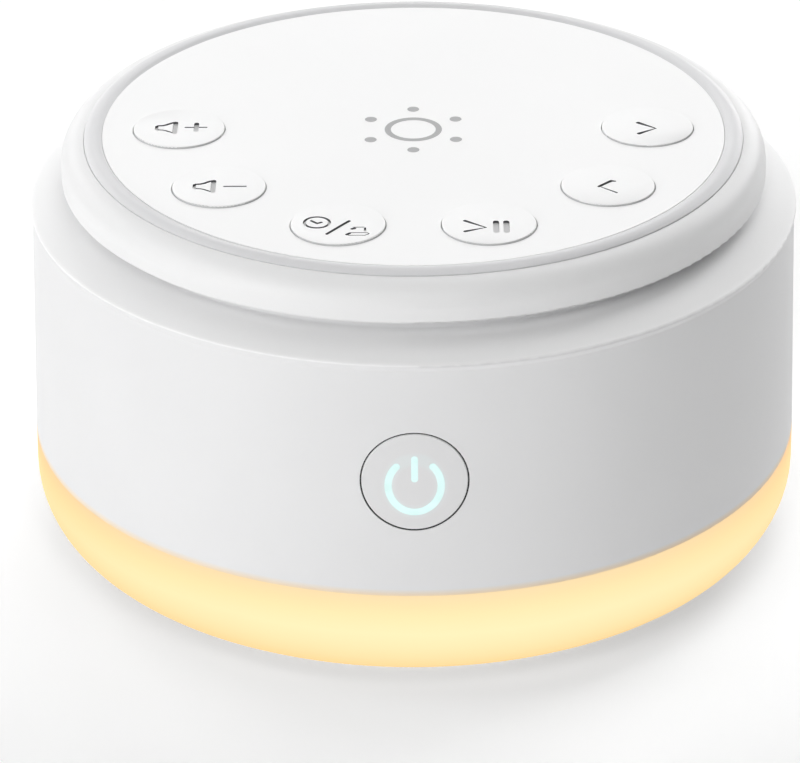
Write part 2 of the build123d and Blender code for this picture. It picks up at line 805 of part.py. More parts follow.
with BuildPart() as key_carrier:
    with BuildSketch(Plane.XY.offset(carrier_z)):
        Circle(carrier_radius)
        Circle(touch_pad_radius + 2 * board_edge_gap, mode=Mode.SUBTRACT)
        with PolarLocations(rim_boss_circle_radius, rim_boss_count, start_angle=rim_boss_start):
            Circle(hole_radius, mode=Mode.SUBTRACT)
        for angle in key_angles:
            with PolarLocations(key_circle_radius, 1, start_angle=angle):
                Circle(stem_hole_radius, mode=Mode.SUBTRACT)
    extrude(amount=carrier_thickness)
    # Sleeves that guide the key skirts, slotted for their ribs
    sleeve_inner_radius = key_skirt_radius + slip_gap
    sleeve_radius = sleeve_inner_radius + sleeve_wall
    sleeve_slot_width = key_rib_width + 2 * slip_gap
    with BuildSketch(Plane.XY.offset(carrier_top_z)):
        for angle in key_angles:
            with PolarLocations(key_circle_radius, 1, start_angle=angle):
                Circle(sleeve_radius)
        for angle in key_angles:
            with PolarLocations(key_circle_radius, 1, start_angle=angle):
                Circle(sleeve_inner_radius, mode=Mode.SUBTRACT)
                Rectangle(sleeve_slot_width, 2 * sleeve_radius, mode=Mode.SUBTRACT)
    extrude(amount=sleeve_top_z - carrier_top_z)
    # Posts that hold the key board below the carrier
    with BuildSketch(Plane.XY.offset(carrier_z)):
        with PolarLocations(carrier_post_circle_radius, frame_screw_count, start_angle=screw_angle):
            Circle(carrier_post_radius)
    extrude(amount=-carrier_post_height)
    with BuildSketch(Plane.XY.offset(key_board_top_z)):
        with PolarLocations(carrier_post_circle_radius, frame_screw_count, start_angle=screw_angle):
            Circle(pilot_radius)
    extrude(amount=carrier_post_height, mode=Mode.SUBTRACT)
save(key_carrier, "key_carrier")

with BuildPart() as key_board:
    with BuildSketch(Plane.XY.offset(key_board_z)):
        Circle(key_board_radius)
        with PolarLocations(carrier_post_circle_radius, frame_screw_count, start_angle=screw_angle):
            Circle(hole_radius, mode=Mode.SUBTRACT)
    extrude(amount=board_thickness)
save(key_board, "key_board")

with BuildPart() as touch_pad:
    with BuildSketch(Plane.XY.offset(key_board_top_z)):
        Circle(touch_pad_radius)
    extrude(amount=shelf_z - key_board_top_z - touch_gap)
save(touch_pad, "touch_pad")

key_board_screws = screw_ring(
    carrier_post_circle_radius,
    frame_screw_count,
    screw_angle,
    key_board_z,
    board_thickness + carrier_post_height - slip_gap,
)
save(key_board_screws, "key_board_screws")

rim_screws = screw_ring(
    rim_boss_circle_radius,
    rim_boss_count,
    rim_boss_start,
    neck_z - housing_wall,
    housing_wall + shelf_bottom_z - neck_z - slip_gap,
)
save(rim_screws, "rim_screws")

with BuildPart() as key_switch_bodies:
    for angle in key_angles:
        with BuildSketch(key_plane(angle, key_board_top_z)):
            Rectangle(switch_size, switch_size)
        extrude(amount=switch_body_height)
        with BuildSketch(key_plane(angle, switch_top_z)):
            Circle(plunger_radius + plunger_gap)
        extrude(amount=plunger_step_height - plunger_length - key_travel - seam_gap, mode=Mode.SUBTRACT)
save(key_switch_bodies, "key_switch_bodies")

# ---- Finger keys ----

key_names = [
    "volume_up",
    "volume_down",
    "timer_lock",
    "play_pause",
    "previous",
    "next",
]
key_top_z = panel_z + key_step_height
key_bore_radius = key_skirt_radius - key_skirt_wall

for key_name, angle in zip(key_names, key_angles):
    hub = Axis(key_plane(angle, 0).origin, (0, 0, 1))
    with BuildPart() as finger_key:
        with BuildSketch(key_section_plane(angle)):
            with BuildLine():
                FilletPolyline(
                    (0, key_top_z),
                    (key_radius, key_top_z),
                    (key_radius, key_flange_top_z),
                    (key_flange_radius, key_flange_top_z),
                    (key_flange_radius, key_flange_z),
                    (key_skirt_radius, key_flange_z),
                    (key_skirt_radius, key_bottom_z),
                    (key_bore_radius, key_bottom_z),
                    (key_bore_radius, key_ceiling_z),
                    (key_stem_radius, key_ceiling_z),
                    (key_stem_radius, plunger_top_z),
                    (0, plunger_top_z),
                    radius=[0, key_edge_radius, 0, 0, 0, 0, 0, 0, 0, 0, 0, 0],
                    close=True,
                )
            make_face()
        revolve(axis=hub)
        # Two ribs that keep the sign upright
        with BuildSketch(key_plane(angle, key_bottom_z)):
            Rectangle(key_rib_width, 2 * (key_skirt_radius + key_rib_height))
            Circle(key_skirt_radius - key_skirt_wall / 2, mode=Mode.SUBTRACT)
        extrude(amount=key_flange_z - key_bottom_z)
    save(finger_key, f"{key_name}_key")

    with BuildPart() as key_plunger:
        with BuildSketch(key_plane(angle, plunger_top_z)):
            Circle(plunger_radius)
        extrude(amount=-plunger_length)
    save(key_plunger, f"{key_name}_plunger")

# ---- Loudspeaker, facing down behind the grille ----

with BuildPart() as speaker_gasket:
    with BuildSketch(Plane.XY.offset(gasket_z)):
        Circle(speaker_radius - slip_gap)
        Circle(flange_inner_radius, mode=Mode.SUBTRACT)
    extrude(amount=gasket_thickness)
save(speaker_gasket, "speaker_gasket")

with BuildPart() as speaker_basket:
    with BuildSketch(Plane.XZ):
        with BuildLine():
            Polyline(
                (flange_inner_radius, basket_z),
                (speaker_radius, basket_z),
                (speaker_radius, basket_skirt_z),
                (basket_seat_radius, basket_top_z),
                (plate_hole_radius + magnet_gap, basket_top_z),
                (plate_hole_radius + magnet_gap, basket_top_z - basket_wall),
                (basket_seat_radius - basket_wall, basket_top_z - basket_wall),
                (basket_inner_radius, basket_skirt_z - basket_wall / 2),
                (basket_inner_radius, speaker_flange_top_z),
                (flange_inner_radius, speaker_flange_top_z),
                close=True,
            )
        make_face()
    revolve(axis=Axis.Z)
    # Ears with screw holes, and the tab for the leads
    with BuildSketch(Plane.XY.offset(basket_z)):
        with PolarLocations(ear_circle_radius, ear_count, start_angle=first_ear_angle):
            Circle(ear_radius)
        with Locations((0, speaker_radius)):
            Rectangle(terminal_width, 2 * terminal_length)
        Circle(speaker_radius - basket_wall / 2, mode=Mode.SUBTRACT)
        with PolarLocations(ear_circle_radius, ear_count, start_angle=first_ear_angle):
            Circle(hole_radius, mode=Mode.SUBTRACT)
    extrude(amount=speaker_flange_thickness)
    # Windows in the sloping wall
    with BuildSketch(Plane.XY.offset(basket_skirt_z)):
        with PolarLocations(speaker_radius - basket_wall, frame_screw_count):
            Rectangle(window_width, window_width)
    extrude(amount=window_height, mode=Mode.SUBTRACT)
save(speaker_basket, "speaker_basket")

with BuildPart() as speaker_top_plate:
    with BuildSketch(Plane.XY.offset(basket_top_z)):
        Circle(plate_radius)
        Circle(plate_hole_radius, mode=Mode.SUBTRACT)
    extrude(amount=plate_thickness)
save(speaker_top_plate, "speaker_top_plate")

with BuildPart() as speaker_magnet:
    with BuildSketch(Plane.XY.offset(plate_top_z)):
        Circle(magnet_radius)
        Circle(plate_hole_radius + magnet_gap, mode=Mode.SUBTRACT)
    extrude(amount=magnet_height)
save(speaker_magnet, "speaker_magnet")

with BuildPart() as speaker_yoke:
    with BuildSketch(Plane.XY.offset(magnet_top_z)):
        Circle(plate_radius)
    extrude(amount=plate_thickness)
    with BuildSketch(Plane.XY.offset(basket_top_z)):
        Circle(pole_radius)
    extrude(amount=magnet_top_z - basket_top_z)
save(speaker_yoke, "speaker_yoke")

with BuildPart() as voice_coil:
    with BuildSketch(Plane.XY.offset(coil_z)):
        Circle(coil_outer_radius)
        Circle(coil_radius, mode=Mode.SUBTRACT)
    extrude(amount=coil_length)
save(voice_coil, "voice_coil")

cone_neck_radius = coil_outer_radius + touch_gap
cone_slope_end = cone_radius - cone_rim_width

with BuildPart() as speaker_cone:
    with BuildSketch(Plane.XZ):
        with BuildLine():
            Polyline(
                (cone_neck_radius, cone_neck_z),
                (cone_slope_end, cone_rim_z),
                (cone_radius, cone_rim_z),
                (cone_radius, cone_rim_z + cone_thickness),
                (cone_slope_end, cone_rim_z + cone_thickness),
                (cone_neck_radius, cone_neck_z + cone_thickness),
                close=True,
            )
        make_face()
    revolve(axis=Axis.Z)
save(speaker_cone, "speaker_cone")

cone_fall = (cone_neck_z - cone_rim_z) / (cone_slope_end - cone_neck_radius)
cap_rim_z = cone_neck_z - cone_fall * (dust_cap_radius - cone_neck_radius) - touch_gap

with BuildPart() as dust_cap:
    with BuildSketch(Plane.XZ):
        with BuildLine():
            bore_radius = dust_cap_radius - cone_thickness
            apex_z = cap_rim_z - dust_cap_height
            ThreePointArc((-dust_cap_radius, cap_rim_z), (0, apex_z), (dust_cap_radius, cap_rim_z))
            Line((dust_cap_radius, cap_rim_z), (bore_radius, cap_rim_z))
            ThreePointArc(
                (bore_radius, cap_rim_z), (0, apex_z + cone_thickness), (-bore_radius, cap_rim_z)
            )
            Line((-bore_radius, cap_rim_z), (-dust_cap_radius, cap_rim_z))
        make_face()
        with Locations((0, cap_rim_z)):
            Rectangle(
                dust_cap_radius,
                2 * dust_cap_height,
                align=(Align.MIN, Align.CENTER),
                mode=Mode.INTERSECT,
            )
    revolve(axis=Axis.Z)
save(dust_cap, "dust_cap")

# Half-round roll between the cone's rim and the basket's flange
roll_half = (flange_inner_radius - cone_radius) / 2 - surround_thickness
roll_middle_radius = (flange_inner_radius + cone_radius) / 2
roll_bore = roll_half - surround_thickness / 2
roll_crown = roll_half + surround_thickness / 2
roll_foot = sqrt(roll_crown**2 - surround_thickness**2)
surround_top_z = surround_z + surround_thickness
surround_outer_radius = basket_inner_radius - touch_gap

with BuildPart() as surround:
    with BuildSketch(Plane.XZ):
        with BuildLine():
            Polyline(
                (roll_middle_radius - roll_foot, surround_top_z),
                (cone_slope_end, surround_top_z),
                (cone_slope_end, surround_z),
                (roll_middle_radius - roll_bore, surround_z),
            )
            ThreePointArc(
                (roll_middle_radius - roll_bore, surround_z),
                (roll_middle_radius, surround_z + roll_bore),
                (roll_middle_radius + roll_bore, surround_z),
            )
            Polyline(
                (roll_middle_radius + roll_bore, surround_z),
                (surround_outer_radius, surround_z),
                (surround_outer_radius, surround_top_z),
                (roll_middle_radius + roll_foot, surround_top_z),
            )
            ThreePointArc(
                (roll_middle_radius + roll_foot, surround_top_z),
                (roll_middle_radius, surround_z + roll_crown),
                (roll_middle_radius - roll_foot, surround_top_z),
            )
        make_face()
    revolve(axis=Axis.Z)
save(surround, "surround")

# Corrugated disc that centres the voice coil
spider_inner_radius = coil_outer_radius + touch_gap
spider_outer_radius = basket_seat_radius - basket_wall
spider_step = (spider_outer_radius - spider_inner_radius) / 4
spider_z = basket_top_z - basket_wall - touch_gap - spider_wave_height - surround_thickness

with BuildPart() as spider:
    with BuildSketch(Plane.XZ):
        with BuildLine():
            lower = [
                (spider_inner_radius + i * spider_step, spider_z + (i + 1) % 2 * spider_wave_height)
                for i in range(5)
            ]
            upper = [(r, z + surround_thickness) for r, z in reversed(lower)]
            Polyline(*lower, *upper, close=True)
        make_face()
    revolve(axis=Axis.Z)
save(spider, "spider")

speaker_screws = screw_ring(
    ear_circle_radius, ear_count, first_ear_angle, speaker_flange_top_z, base_wall, up=False
)
save(speaker_screws, "speaker_screws")

# ---- Internal leads and their sockets ----

speaker_lead_y = speaker_radius + terminal_length - lead_inset
speaker_socket_y = tray_lip_radius - lead_radius - lead_margin
power_header_y = -main_board_size / 2 + socket_depth
light_header_x = main_board_size / 2 - socket_depth
light_lead_z = tray_z + touch_gap
header_top_z = main_board_top_z + socket_height
power_socket_z = header_top_z + power_lead_height
header_bottom_z = main_board_z - socket_height
power_socket_y = socket_height - power_board_back

with BuildPart() as wire_sockets:
    with BuildSketch(Plane.XY.offset(main_board_top_z)):
        with Locations((0, key_header_y)):
            Rectangle(key_ribbon_width + 2 * socket_margin, socket_depth)
        with Locations((0, power_header_y)):
            Rectangle(power_ribbon_width + 2 * socket_margin, socket_depth)
    extrude(amount=socket_height)
    with BuildSketch(Plane.XY.offset(main_board_z)):
        with Locations((0, speaker_socket_y)):
            Rectangle(lead_spacing + 4 * lead_radius + socket_margin, socket_depth)
        with Locations((light_header_x, 0)):
            Rectangle(socket_depth, light_ribbon_width + 2 * socket_margin)
    extrude(amount=-socket_height)
    with BuildSketch(Plane.XY.offset(key_board_z)):
        with Locations((0, key_socket_y)):
            Rectangle(key_ribbon_width + 2 * socket_margin, socket_depth)
    extrude(amount=-socket_height)
    with BuildSketch(front.offset(power_board_back)):
        with Locations((0, power_socket_z - power_key_z)):
            Rectangle(power_ribbon_width + 2 * socket_margin, socket_depth)
    extrude(amount=-socket_height)
save(wire_sockets, "wire_sockets")


def ribbon(plane, points, radii, width, thickness):
    """Flat lead whose route lies in one plane, made to its width about that plane."""
    with BuildPart() as strip:
        with BuildSketch(plane):
            with BuildLine():
                FilletPolyline(*points, radius=radii)
            trace(line_width=thickness)
        extrude(amount=width / 2, both=True)
    return strip


key_cable = ribbon(
    Plane.YZ,
    [
        (key_socket_y, key_board_z - socket_height),
        (key_socket_y, key_board_z - socket_height - lead_straight_length),
        (key_header_y, header_top_z + lead_straight_length),
        (key_header_y, header_top_z),
    ],
    [ribbon_bend_radius, ribbon_bend_radius],
    key_ribbon_width,
    ribbon_thickness,
)
save(key_cable, "key_cable")

power_cable = ribbon(
    Plane.YZ,
    [
        (power_socket_y, power_socket_z),
        (power_header_y, power_socket_z),
        (power_header_y, header_top_z),
    ],
    [ribbon_bend_radius],
    power_ribbon_width,
    ribbon_thickness,
)
save(power_cable, "power_cable")

light_cable = ribbon(
    Plane.XZ,
    [
        (led_circle_radius, light_lead_z),
        (led_circle_radius, tray_top_z + light_lead_height),
        (light_header_x, header_bottom_z - light_lead_height),
        (light_header_x, header_bottom_z),
    ],
    [ribbon_bend_radius, ribbon_bend_radius],
    light_ribbon_width,
    ribbon_thickness,
)
save(light_cable, "light_cable")

lead_names = ["speaker_lead_plus", "speaker_lead_minus"]
for name, side in zip(lead_names, (-1, 1)):
    with BuildPart() as speaker_lead:
        with BuildLine(Plane.YZ.offset(side * lead_spacing / 2)) as lead_route:
            FilletPolyline(
                (speaker_lead_y, speaker_flange_top_z),
                (speaker_lead_y, basket_top_z),
                (speaker_socket_y, header_bottom_z - lead_straight_length),
                (speaker_socket_y, header_bottom_z),
                radius=[lead_bend_radius, lead_bend_radius],
            )
        with BuildSketch(Plane(lead_route.line @ 0, z_dir=lead_route.line % 0)):
            Circle(lead_radius)
        sweep()
    save(speaker_lead, name)
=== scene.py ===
import bmesh
import bpy
from math import cos, pi, radians, sin, sqrt, tan
from mathutils import Matrix, Vector


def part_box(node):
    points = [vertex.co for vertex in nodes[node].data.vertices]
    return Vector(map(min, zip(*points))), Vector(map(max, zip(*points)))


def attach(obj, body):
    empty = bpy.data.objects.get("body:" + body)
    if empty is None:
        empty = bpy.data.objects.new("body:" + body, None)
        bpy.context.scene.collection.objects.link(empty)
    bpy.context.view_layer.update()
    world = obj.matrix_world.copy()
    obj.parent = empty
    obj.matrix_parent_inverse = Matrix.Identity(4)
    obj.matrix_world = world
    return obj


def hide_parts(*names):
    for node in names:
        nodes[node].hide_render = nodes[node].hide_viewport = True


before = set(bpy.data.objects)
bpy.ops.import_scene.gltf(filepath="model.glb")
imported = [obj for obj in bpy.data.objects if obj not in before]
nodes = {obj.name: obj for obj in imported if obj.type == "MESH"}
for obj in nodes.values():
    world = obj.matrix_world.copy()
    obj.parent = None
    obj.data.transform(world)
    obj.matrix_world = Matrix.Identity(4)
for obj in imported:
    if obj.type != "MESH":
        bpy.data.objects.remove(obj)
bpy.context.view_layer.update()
MM = 0.001

# ---- Sizes that the pieces made here share with the solids, in millimetres and degrees ----

panel_z = 57.0
key_proud = 0.25
key_radius = 5.95
key_circle = 30.5
first_key_angle = 180
key_step = 36
body_top_radius = 49.9
shoulder_z = 48.0
seam_z = 16.0
base_z = 1.5
draft = tan(radians(1.4))
power_z = 32.0
power_key_radius = 6.6
power_hole_radius = 6.8

# The oval that the arc of the power sign follows
sign_z = 31.47
sign_half_width = 3.28
sign_half_height = 3.62


def wall_radius(z):
    """Outer radius of the drafted body at a height."""
    return body_top_radius + (shoulder_z - z) * draft


# ---- Materials ----

# A moulded surface: scale of its drift of tone, spread of its roughness, and depth of its grain in widths
cloud_scale = 26.0
sheen_spread = 0.05
grain_depth = 0.2

# Colours of the glow by height, from the foot of the bowl at 0 to its seam at 1, and how far they drift
glow_tones = (
    (0.08, (0.97, 0.87, 0.47)),
    (0.28, (0.98, 0.90, 0.54)),
    (0.48, (1.0, 0.95, 0.60)),
    (0.62, (1.0, 0.98, 0.63)),
    (0.80, (1.0, 0.925, 0.56)),
    (0.90, (1.0, 0.87, 0.53)),
    (1.0, (0.95, 0.82, 0.53)),
)
glow_drift = 0.05

# The halo on the power key: where it starts and ends beside the oval, in half axes, and its light
halo_start = 0.1
halo_end = 0.35
halo_light = 0.035


def node_adder(tree):
    """A helper that adds a node to the tree, sets its values, and links sources to its inputs."""

    def add(kind, links=(), **values):
        node = tree.nodes.new(kind)
        for key, value in values.items():
            if key in node.inputs:
                node.inputs[key].default_value = value
            else:
                setattr(node, key, value)
        for source, socket in links:
            tree.links.new(source, node.inputs[socket])
        return node

    return add


def set_inputs(node, values):
    """Sets inputs of a node by name."""
    for socket, value in values.items():
        node.inputs[socket].default_value = value


def map_range(add, source, start, end, low, high, interpolation="LINEAR"):
    """Turns a value that runs from start to end into one that runs from low to high."""
    node = add("ShaderNodeMapRange", [(source, "Value")], interpolation_type=interpolation)
    set_inputs(node, {"From Min": start, "From Max": end, "To Min": low, "To Max": high})
    return node.outputs["Result"]


def new_material(name):
    """A node material, its tree, its shader, and a helper that adds nodes to it."""
    material = bpy.data.materials.new(name)
    material.use_nodes = True
    tree = material.node_tree
    return material, tree, tree.nodes["Principled BSDF"], node_adder(tree)


def tone_ramp(add, source, low, high, start=0.35, end=0.65):
    """Noise turned into a slow drift between two tones."""
    ramp = add("ShaderNodeValToRGB", [(source, "Fac")])
    ramp.color_ramp.elements[0].position = start
    ramp.color_ramp.elements[1].position = end
    ramp.color_ramp.elements[0].color = (*low, 1)
    ramp.color_ramp.elements[1].color = (*high, 1)
    return ramp.outputs["Color"]


def moulded(
    name, colour, roughness=0.45, grain=0.00022, bump=0.06, drift=0.012, specular=0.35, metallic=0.0
):
    """Moulded or sprayed surface: fine spark-eroded grain, slow drift of tone and uneven sheen."""
    material, tree, shader, add = new_material(name)
    place = add("ShaderNodeTexCoord").outputs["Object"]
    cloud = add("ShaderNodeTexNoise", [(place, "Vector")], Scale=cloud_scale, Detail=3.0)
    low = tuple(max(0.0, c - drift) for c in colour)
    high = tuple(min(1.0, c + drift) for c in colour)
    tone = tone_ramp(add, cloud.outputs["Fac"], low, high)
    tree.links.new(tone, shader.inputs["Base Color"])
    fine = add("ShaderNodeTexNoise", [(place, "Vector")], Scale=1.0 / grain, Detail=2.0)
    fac = fine.outputs["Fac"]
    sheen = map_range(add, fac, 0.0, 1.0, roughness - sheen_spread, roughness + sheen_spread)
    tree.links.new(sheen, shader.inputs["Roughness"])
    relief = add("ShaderNodeBump", [(fac, "Height")], Strength=bump, Distance=grain * grain_depth)
    tree.links.new(relief.outputs["Normal"], shader.inputs["Normal"])
    set_inputs(shader, {"Specular IOR Level": specular, "Metallic": metallic})
    return material


def glowing(name):
    """Frosted bowl lit from inside, brightest above its middle, under an amber skin."""
    material, tree, shader, add = new_material(name)
    place = add("ShaderNodeTexCoord").outputs["Object"]
    split = add("ShaderNodeSeparateXYZ", [(place, "Vector")])
    height = map_range(add, split.outputs["Z"], base_z * MM, seam_z * MM, 0.0, 1.0)
    mottle = add("ShaderNodeTexNoise", [(place, "Vector")], Scale=60.0, Detail=2.0).outputs["Fac"]
    drift = add("ShaderNodeMath", [(mottle, 0)], operation="MULTIPLY_ADD")
    drift.inputs[1].default_value = glow_drift
    drift.inputs[2].default_value = -glow_drift / 2
    level = add("ShaderNodeMath", [(height, 0), (drift.outputs[0], 1)], operation="ADD")
    ramp = add("ShaderNodeValToRGB", [(level.outputs[0], "Fac")])
    stops = ramp.color_ramp.elements
    first, *between, last = glow_tones
    for i, (where, colour) in enumerate((first, last)):
        stops[i].position = where
        stops[i].color = (*colour, 1)
    for where, colour in between:
        stops.new(where).color = (*colour, 1)
    tree.links.new(ramp.outputs["Color"], shader.inputs["Emission Color"])
    body = tone_ramp(add, mottle, (0.045, 0.035, 0.015), (0.055, 0.045, 0.02))
    tree.links.new(body, shader.inputs["Base Color"])
    set_inputs(shader, {"Emission Strength": 1.0, "Roughness": 0.5, "Specular IOR Level": 0.05})
    set_inputs(shader, {"Coat Weight": 1.0, "Coat Roughness": 0.5, "Coat IOR": 1.05})
    set_inputs(shader, {"Coat Tint": (1.0, 0.915, 0.845, 1)})
    return material


def lit_sign(name):
    """Translucent sign lit from behind in cyan, with a slight unevenness."""
    material, tree, shader, add = new_material(name)
    place = add("ShaderNodeTexCoord").outputs["Object"]
    mottle = add("ShaderNodeTexNoise", [(place, "Vector")], Scale=500.0, Detail=1.0).outputs["Fac"]
    light = tone_ramp(add, mottle, (0.66, 0.87, 0.85), (0.72, 0.92, 0.91))
    tree.links.new(light, shader.inputs["Emission Color"])
    body = tone_ramp(add, mottle, (0.05, 0.08, 0.08), (0.06, 0.09, 0.09))
    tree.links.new(body, shader.inputs["Base Color"])
    set_inputs(shader, {"Emission Strength": 1.0, "Roughness": 0.4})
    return material


def tint_near(material, height, colour, above, below):
    """Mixes in a colour at a height, fading out within a distance above and one below, in millimetres."""
    tree = material.node_tree
    shader = tree.nodes["Principled BSDF"]
    add = node_adder(tree)
    tone = shader.inputs["Base Color"].links[0].from_socket
    place = add("ShaderNodeTexCoord").outputs["Object"]
    split = add("ShaderNodeSeparateXYZ", [(place, "Vector")])
    ends = (height + above, height - below)
    fades = [map_range(add, split.outputs["Z"], height * MM, end * MM, 1.0, 0.0) for end in ends]
    least = add("ShaderNodeMath", [(fades[0], 0), (fades[1], 1)], operation="MINIMUM")
    sources = [(least.outputs[0], "Factor"), (tone, "A")]
    mix = add("ShaderNodeMix", sources, data_type="RGBA", B=(*colour, 1))
    tree.links.new(mix.outputs["Result"], shader.inputs["Base Color"])


def body_shell(name, colour, roughness):
    """Body, with painted light: a warm glow and a little shade just above the seam, a paler shoulder and
    a highlight on its edge.
    """
    material = moulded(name, colour, roughness)
    # Painted warm light from the lit bowl, with a little painted shade, just above the seam
    tint_near(material, seam_z, colour=(0.90, 0.72, 0.50), above=0.9, below=0.9)
    # Painted light: the shoulder paler than the wall, as if lit from above
    tint_near(material, shoulder_z, colour=(0.935, 0.935, 0.935), above=2.4, below=0.03)
    # Painted highlight along the shoulder's edge
    tint_near(material, shoulder_z, colour=(0.99, 0.99, 0.99), above=0.2, below=0.2)
    return material


def lit_face(name, colour, roughness):
    """Power key: white, with the faint halo of its sign's light."""
    material = moulded(name, colour, roughness)
    tree = material.node_tree
    shader = tree.nodes["Principled BSDF"]
    add = node_adder(tree)
    place = add("ShaderNodeTexCoord").outputs["Object"]
    oval = add("ShaderNodeVectorMath", [(place, 0)], operation="MULTIPLY_ADD")
    oval.inputs[1].default_value = (1 / (sign_half_width * MM), 0, 1 / (sign_half_height * MM))
    oval.inputs[2].default_value = (0, 0, -sign_z / sign_half_height)
    length = add("ShaderNodeVectorMath", [(oval.outputs[0], 0)], operation="LENGTH")
    away = add("ShaderNodeMath", [(length.outputs["Value"], 0)], operation="SUBTRACT")
    away.inputs[1].default_value = 1.0
    near = add("ShaderNodeMath", [(away.outputs[0], 0)], operation="ABSOLUTE")
    halo = map_range(add, near.outputs[0], halo_start, halo_end, halo_light, 0.0, "SMOOTHERSTEP")
    set_inputs(shader, {"Emission Color": (0.1, 0.9, 0.85, 1)})
    tree.links.new(halo, shader.inputs["Emission Strength"])
    return material


materials = {
    "cyan": lit_sign("power_sign_cyan"),
    "housing": body_shell("housing_white", (0.815, 0.815, 0.82), 0.5),
    "power_key": lit_face("power_key_white", (0.79, 0.79, 0.795), 0.5),
    "rim": moulded("rim_white", (0.87, 0.87, 0.872), 0.42),
    "trim": moulded("trim_grey", (0.74, 0.74, 0.75), 0.4),
    "panel": moulded("panel_white", (0.965, 0.965, 0.965), 0.4, bump=0.03),
    "print": moulded("print_grey", (0.44, 0.44, 0.445), 0.5, bump=0.02, drift=0.01),
    "key": moulded("key_white", (0.965, 0.965, 0.965), 0.38, bump=0.03),
    # Painted shade: the key's side is darker grey where shade falls in the gap round the key
    "key_side_shade": moulded("key_side_shade", (0.68, 0.68, 0.685), 0.6),
    "groove": moulded("sign_floor", (0.82, 0.82, 0.82), 0.5),
    # Painted shade: the walls of the sunk signs are near black, where shade falls in the cuts
    "groove_wall_shade": moulded("sign_wall_shade", (0.11, 0.11, 0.115), 0.6, drift=0.01),
    "base": moulded("base_white", (0.80, 0.80, 0.81), 0.6, grain=0.0004, bump=0.25),
    "tray": moulded("tray_white", (0.88, 0.88, 0.88), 0.5),
    "rubber": moulded("foot_rubber", (0.34, 0.34, 0.35), 0.8, grain=0.0005, bump=0.3, drift=0.02),
    "glow": glowing("glow"),
    "board": moulded("circuit_board", (0.02, 0.16, 0.06), 0.3, grain=0.0006, bump=0.1, drift=0.02),
    "light_board": moulded("light_board", (0.85, 0.85, 0.83), 0.35),
    "black": moulded("black_plastic", (0.02, 0.02, 0.022), 0.45, drift=0.004),
    "cream": moulded("cream_plastic", (0.80, 0.75, 0.62), 0.45),
    "lamp": moulded("lamp", (0.95, 0.80, 0.35), 0.3, drift=0.03),
    "can": moulded("capacitor_can", (0.7, 0.71, 0.73), 0.3, drift=0.02, metallic=1.0),
    "steel": moulded("steel", (0.55, 0.55, 0.57), 0.35, grain=0.0004, bump=0.2, drift=0.03, metallic=1.0),
    "nickel": moulded("plug_shell", (0.72, 0.71, 0.69), 0.22, drift=0.02, metallic=1.0),
    "gold": moulded("contact_gold", (0.83, 0.60, 0.26), 0.25, drift=0.02, metallic=1.0),
    "ferrite": moulded("ferrite", (0.05, 0.05, 0.055), 0.6, grain=0.0006, bump=0.4, drift=0.01),
    "basket": moulded("basket_black", (0.03, 0.03, 0.032), 0.4, drift=0.006),
    "cone": moulded("cone_paper", (0.05, 0.05, 0.052), 0.85, grain=0.0003, bump=0.5, drift=0.012),
    "soft_black": moulded("surround_rubber", (0.025, 0.025, 0.025), 0.7, drift=0.006),
    "spider": moulded("spider_cloth", (0.62, 0.44, 0.16), 0.9, grain=0.0004, bump=0.7, drift=0.04),
    "copper": moulded("coil_copper", (0.72, 0.33, 0.16), 0.35, drift=0.04, metallic=1.0),
    "foam": moulded("foam", (0.06, 0.06, 0.06), 0.95, grain=0.0005, bump=0.8, drift=0.01),
    "ribbon": moulded("ribbon_white", (0.80, 0.80, 0.80), 0.5),
    "red": moulded("lead_red", (0.55, 0.03, 0.03), 0.5, drift=0.02),
    "wire_black": moulded("lead_black", (0.02, 0.02, 0.02), 0.5, drift=0.004),
    "guide": moulded("light_guide", (0.75, 0.86, 0.86), 0.15),
}

# Material of each node; the finger keys share one, and their switch plungers are black
finish_of = {
    "base_cover": "base", "feet": "rubber", "base_screws": "steel", "light_diffuser": "glow",
    "light_tray": "tray", "light_board": "light_board", "glow_leds": "lamp", "frame_screws": "steel",
    "main_housing": "housing", "main_board": "board", "usb_c_shell": "nickel", "usb_c_tongue": "black",
    "board_chips": "black", "capacitors": "can", "power_key": "power_key", "power_light_guide": "guide",
    "power_board": "board", "power_board_screws": "steel", "power_switch_body": "black",
    "power_switch_plunger": "black", "power_leds": "lamp", "top_rim": "rim", "trim_ring": "trim",
    "key_panel": "panel", "key_carrier": "tray", "key_board": "board", "touch_pad": "foam",
    "key_board_screws": "steel", "rim_screws": "steel", "key_switch_bodies": "black",
    "speaker_gasket": "foam", "speaker_basket": "basket", "speaker_top_plate": "steel",
    "speaker_magnet": "ferrite", "speaker_yoke": "steel", "voice_coil": "copper", "speaker_cone": "cone",
    "dust_cap": "cone", "surround": "soft_black", "spider": "spider", "speaker_screws": "steel",
    "wire_sockets": "cream", "key_cable": "ribbon", "power_cable": "ribbon", "light_cable": "ribbon",
    "speaker_lead_plus": "red", "speaker_lead_minus": "wire_black",
}
for name, node in nodes.items():
    kind = finish_of.get(name, "key" if name.endswith("_key") else "black")
    node.data.materials.clear()
    node.data.materials.append(materials[kind])

# The glow lights the machine itself and not the floor, which stays neutral in the photograph
lit_by_glow = bpy.data.collections.new("lit_by_glow")
for node in nodes.values():
    lit_by_glow.objects.link(node)
nodes["light_diffuser"].light_linking.receiver_collection = lit_by_glow

# ---- Strokes: the bands that signs are made of ----

# Share of a step by which the round end of a stroke stops short of its tip, so that the tip isn't a point
blunt = 0.4

# Largest angle in degrees between faces that are still shaded as one smooth surface
smooth_angle = 30


